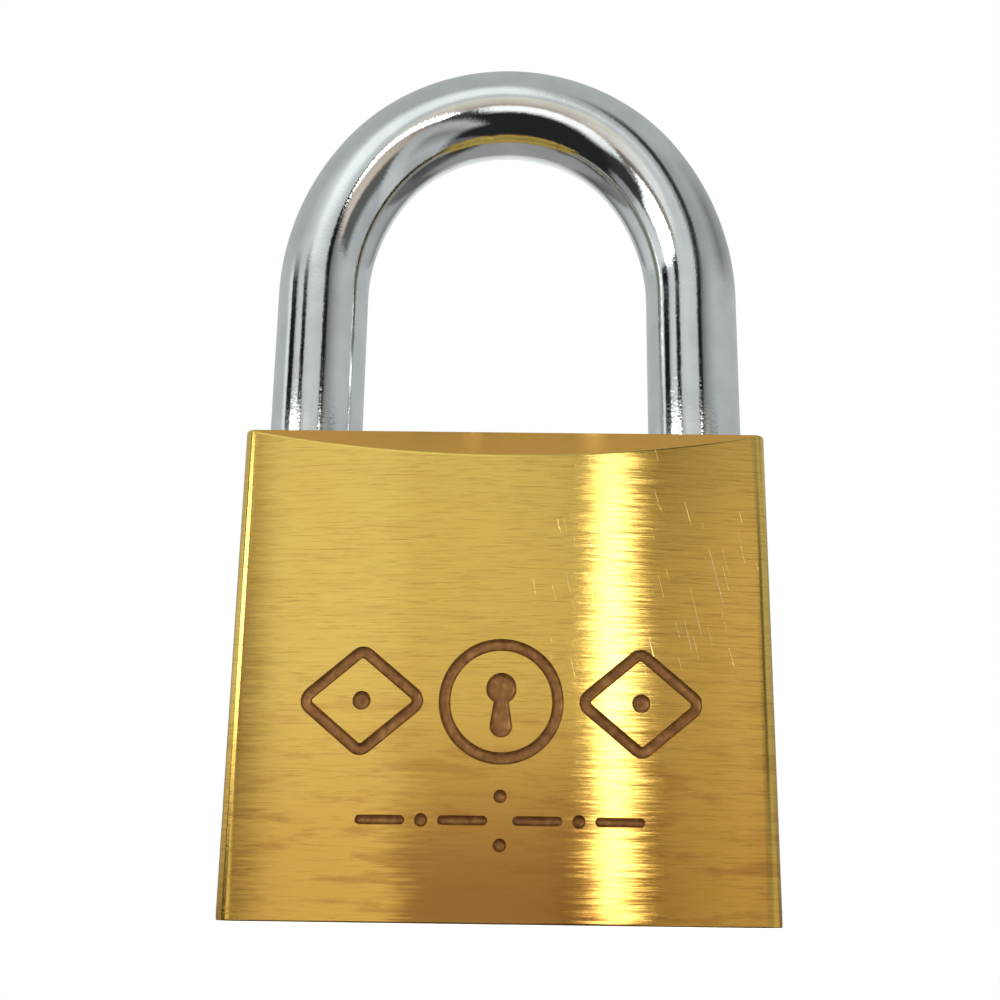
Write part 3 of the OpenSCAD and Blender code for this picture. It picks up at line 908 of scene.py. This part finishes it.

# What stands around the lock, band by band from the ground up. Each band has the elevations where it starts
# and where it is fully seen, then (azimuth, level, tint) stops. Azimuth 0 is in front and 90 is +X.
# This is not a plain studio light and is no example to copy. Many levels were derived from colours measured
# in the photograph and many azimuths from where they lie on the metal, then rounded and adjusted, so
# that the brass and the chrome reflect light and dark where they do there.
BANDS = [
    (GROUND, GROUND, [(-180, 0.35, NEUTRAL), (-125, 0.30, NEUTRAL), (-112, 0.02, COOL), (52, 0.02, COOL),
                  (62, 0.14, NEUTRAL), (84, 0.14, NEUTRAL), (100, 0.04, NEUTRAL), (125, 0.04, NEUTRAL),
                  (140, 0.30, NEUTRAL), (180, 0.35, NEUTRAL)]),
    (-52, -44, [(-180, 0.35, NEUTRAL), (-115, 0.30, NEUTRAL), (-104, 0.02, COOL), (13, 0.02, COOL),
                (20, 0.50, NEUTRAL), (35, 0.24, NEUTRAL), (60, 0.50, COOL), (95, 0.40, COOL),
                (105, 0.08, NEUTRAL), (125, 0.10, NEUTRAL), (140, 0.30, NEUTRAL), (180, 0.35, NEUTRAL)]),
    (-24, -16, [(-180, 0.75, NEUTRAL), (-166, 0.70, NEUTRAL), (-146, 0.12, NEUTRAL),
                (-74, 0.34, NEUTRAL), (-70, 0.04, COOL), (-44, 0.04, COOL), (-36, 0.90, COOL),
                (-20, 1.15, NEUTRAL), (5, 1.15, NEUTRAL), (8, 0.05, NEUTRAL),
                (15, 0.05, NEUTRAL), (19, 0.40, COOL), (60, 0.60, COOL), (90, 0.60, COOL),
                (105, 0.16, NEUTRAL), (146, 0.12, NEUTRAL), (166, 0.70, NEUTRAL), (180, 0.75, NEUTRAL)]),
    (-7, -4, [(-180, 0.85, COOL), (-166, 0.80, COOL), (-146, 0.16, COOL), (-125, 0.50, COOL),
              (-90, 0.60, COOL), (-73, 0.60, COOL), (-69, 0.05, COOL),
              (-50, 0.05, COOL), (-47, 0.30, COOL), (-42, 0.20, WARM),
              (-35, 0.14, WARM), (-27.5, 0.20, WARM), (-25.0, 0.56, WARM), (-13, 0.60, WARM),
              (-11, 0.46, WARM), (9.0, 0.44, WARM)] + WINDOW + [
              (14.2, 0.36, WARM), (16, 0.10, WARM), (18.5, 0.36, WARM), (27, 0.52, WARM),
              (34, 0.12, WARM), (50, 0.12, COOL), (60, 0.45, COOL), (125, 0.38, COOL), (146, 0.22, COOL),
              (166, 0.80, COOL), (180, 0.85, COOL)]),
    (-1, 17, [(-180, 0.90, COOL), (-166, 0.85, COOL), (-146, 0.20, COOL), (-125, 0.60, COOL),
              (-90, 0.75, COOL), (-66, 0.80, COOL), (-64, 6.0, NEUTRAL),
              (-38, 6.0, NEUTRAL), (-36, 0.30, WARM), (-29.5, 0.34, WARM),
              (-27.0, 0.90, NEUTRAL), (-12.6, 0.84, NEUTRAL), (-12.2, 0.76, AMBER),
              (9.0, 0.74, AMBER)] + WINDOW + [
              (14.2, 0.64, WARM), (23.5, 0.62, WARM), (26.5, 0.72, WARM), (31.0, 0.66, WARM),
              (34, 0.12, COOL), (50, 0.12, COOL), (60, 0.50, COOL), (125, 0.42, COOL), (146, 0.25, COOL),
              (166, 0.85, COOL), (180, 0.90, COOL)]),
    (18.0, 18.5, [(-180, 0.52, COOL), (-100, 0.50, COOL), (-94, 0.55, COOL), (-88, 0.85, COOL),
                  (-82, 0.85, COOL), (-80, 0.01, COOL), (-66, 0.01, COOL), (-64, 0.40, COOL),
                  (-58, 0.64, COOL), (-47, 0.66, COOL), (-45, 0.01, COOL), (-36, 0.01, COOL),
                  (-34, 0.60, COOL), (-20, 0.66, COOL), (7, 0.58, COOL), (9.5, 0.01, COOL),
                  (18, 0.01, COOL), (20, 0.16, COOL), (28, 0.28, COOL),
                  (40, 0.42, COOL), (55, 0.52, COOL), (110, 0.50, COOL), (180, 0.52, COOL)]),
    (24, 31, [(-180, 0.52, COOL), (-80, 0.46, COOL), (-50, 0.62, COOL), (-38, 0.75, COOL), (-25, 1.05, COOL),
              (0, 1.00, COOL), (5, 0.55, COOL), (12, 0.42, COOL), (15, 0.04, COOL), (23, 0.04, COOL),
              (27, 0.36, COOL), (60, 0.42, COOL), (90, 0.22, COOL), (110, 0.32, COOL), (180, 0.52, COOL)]),
    (42, 55, [(-180, 0.47, COOL), (180, 0.47, COOL)]),
]


def make_studio_light():
    """The surroundings that the metal reflects. The camera itself sees plain white."""
    world = bpy.data.worlds.new("studio")
    bpy.context.scene.world = world
    nodes = Nodes(world)
    direction = nodes.add("ShaderNodeTexCoord").outputs["Generated"]
    x, y, z = nodes.add("ShaderNodeSeparateXYZ", {0: direction}).outputs
    turn = nodes.math("ARCTAN2", x, nodes.math("MULTIPLY", y, -1.0))
    azimuth = nodes.math("MULTIPLY_ADD", turn, 0.5 / math.pi, 0.5)
    elevation = nodes.math("DEGREES", nodes.math("ARCSINE", z))
    colour = (0, 0, 0, 1)
    for start, full, stops in BANDS:
        band = nodes.ramp(azimuth, [(0.5 + degrees / 360, [level * c / STRONGEST for c in tint])
                                    for degrees, level, tint in stops])
        share = nodes.add("ShaderNodeMapRange", {0: elevation, 1: start, 2: full, 3: 0.0, 4: 1.0}).outputs[0]
        if full - start > WIDE_FADE:
            share = nodes.math("POWER", share, FADE_POWER)
        colour = band if start == GROUND else nodes.mix(share, colour, band)
    seen = nodes.add("ShaderNodeLightPath").outputs["Is Camera Ray"]
    colour = nodes.mix(seen, colour, (1 / STRONGEST, 1 / STRONGEST, 1 / STRONGEST, 1))
    background = nodes.add("ShaderNodeBackground", {"Color": colour, "Strength": STRONGEST})
    nodes.add("ShaderNodeOutputWorld", {"Surface": background.outputs[0]})


def make_floor():
    """A pale floor that the camera sees and that the metal does not reflect."""
    bm = bmesh.new()
    bmesh.ops.create_grid(bm, x_segments=1, y_segments=1, size=3.0)
    floor = new_object("floor", bm)
    floor.location.z = -FLOOR_GAP
    material = bpy.data.materials.new("pale_floor")
    nodes = Nodes(material)
    shader = nodes.add("ShaderNodeBsdfDiffuse", {"Color": (0.9, 0.9, 0.9, 1)})
    nodes.add("ShaderNodeOutputMaterial", {"Surface": shader.outputs[0]})
    floor.data.materials.append(material)
    floor.visible_glossy = False


def make_overhead_light():
    light = bpy.data.lights.new("overhead", "SUN")
    light.angle = math.radians(70)
    light.energy = 4.0
    lamp = bpy.data.objects.new("overhead", light)
    lamp.visible_glossy = False
    bpy.context.scene.collection.objects.link(lamp)


def make_camera():
    """The camera stands low in front and looks up at the lock. Its place, angles and lens were fitted."""
    distance, sideways, height = 129.2 * MM, 0.83 * MM, 0.3 * MM
    pitch, yaw, roll = 0.2837, -0.0092, 0.0138
    sensor_width, focal_length = 36, 51.95
    nearest = 0.01
    forward = Vector((math.sin(yaw) * math.cos(pitch), math.cos(yaw) * math.cos(pitch), math.sin(pitch)))
    right = Vector((math.cos(yaw), -math.sin(yaw), 0))
    up = right.cross(forward)
    turned_right = right * math.cos(roll) + up * math.sin(roll)
    turned_up = up * math.cos(roll) - right * math.sin(roll)
    data = bpy.data.cameras.new("camera")
    data.sensor_width = sensor_width
    data.lens = focal_length
    data.clip_start = nearest
    camera = bpy.data.objects.new("camera", data)
    turn = Matrix((turned_right, turned_up, -forward)).transposed().to_4x4()
    camera.matrix_world = Matrix.Translation((sideways, -HALF_T - distance, height)) @ turn
    bpy.context.scene.collection.objects.link(camera)
    bpy.context.scene.camera = camera


# ---------------------------------------------------------------------------------------------
# Putting it together


def soften_cad_edges(obj, width):
    """Breaks the edges of a CAD node that stays in view."""
    bevel = obj.modifiers.new("broken_edges", "BEVEL")
    bevel.width = width
    bevel.segments = 2
    bevel.limit_method = "ANGLE"
    bevel.angle_limit = math.radians(40)


def is_engraved(face):
    """Whether a face of the body lies inside the engraving."""
    centre = face.center
    in_area = abs(centre.x) < HALF_W - CORNER_R and centre.y < -HALF_T / 2 and centre.z < ENGRAVED_BELOW_Z
    return in_area and centre.y + crown_y(centre.x) > 1.2 * GROOVE_RIM


body = make_body()
body.data.materials.append(brushed_brass())
body.data.materials.append(engraved_brass())
for face in body.data.polygons:
    face.material_index = 1 if is_engraved(face) else 0

shackle = make_shackle()
finish_with(shackle, polished_chrome())

plug_brass = turned_metal("turned_brass", (0.86, 0.62, 0.24), (0.68, 0.44, 0.14), 0.26, 0.12 * MM)
pin_brass = turned_metal("pin_brass", (0.90, 0.68, 0.30), (0.74, 0.50, 0.18), 0.20, 0.10 * MM)
ground_steel = turned_metal("ground_steel", (0.62, 0.61, 0.59), (0.45, 0.44, 0.43), 0.28, 0.15 * MM)
nickel = turned_metal("nickel_plate", (0.74, 0.71, 0.66), (0.62, 0.59, 0.55), 0.16, 0.10 * MM)
spring_wire = turned_metal("spring_wire", (0.50, 0.50, 0.51), (0.34, 0.34, 0.36), 0.24, 0.08 * MM)

for spring in make_springs():
    finish_with(spring, spring_wire)
brass_pins, steel_pins = make_pins()
for pin in brass_pins:
    finish_with(pin, pin_brass)
for pin in steel_pins:
    finish_with(pin, nickel)
for node, metal in (("plug", plug_brass), ("cam", ground_steel), ("toe_bolt", ground_steel),
                    ("heel_bolt", ground_steel)):
    finish_with(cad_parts[node], metal)
    soften_cad_edges(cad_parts[node], 0.08 * MM)
for node in ("chamber_caps", "bolt_bore_cap"):
    finish_with(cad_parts[node], body.data.materials[0])
    soften_cad_edges(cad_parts[node], 0.12 * MM)

make_studio_light()
make_floor()
make_overhead_light()
make_camera()
bpy.context.scene.view_settings.view_transform = "Standard"
